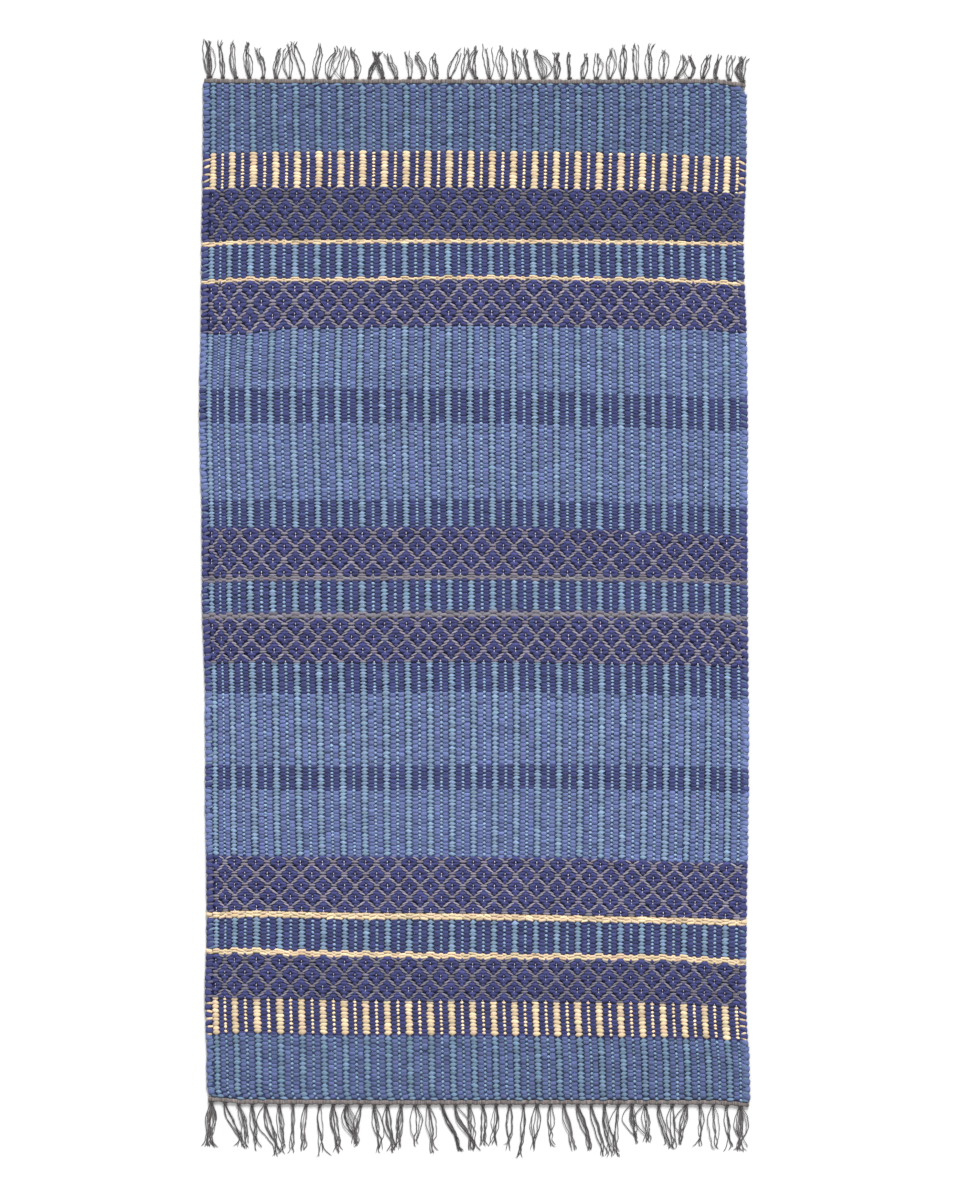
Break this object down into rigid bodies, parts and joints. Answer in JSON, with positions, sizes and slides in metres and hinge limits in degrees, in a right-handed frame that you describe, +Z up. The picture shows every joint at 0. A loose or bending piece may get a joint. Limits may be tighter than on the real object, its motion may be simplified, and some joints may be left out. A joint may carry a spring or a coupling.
{
  "type": "rag rug",
  "caption": "Flat rectangular woven rag rug with crosswise bands of stripes and rosettes, scalloped selvedges and a knotted fringe at each end.",
  "frame": {"origin": "centre of the rug's box, on the floor", "axes": "+Y along the rug's length towards its far end, +X towards the right selvedge, +Z up"},
  "size_m": [0.807, 1.6424, 0.0064],
  "materials": {
    "weft_yarn": "matt woven cotton rag weft in periwinkle, teal, navy, cream and grey",
    "warp_yarn": "matt grey-brown cotton twine"
  },
  "bodies": {
    "root": {"woven_cloth": "weft_yarn", "fringe_far": "warp_yarn", "fringe_near": "warp_yarn"}
  },
  "joints": []
}
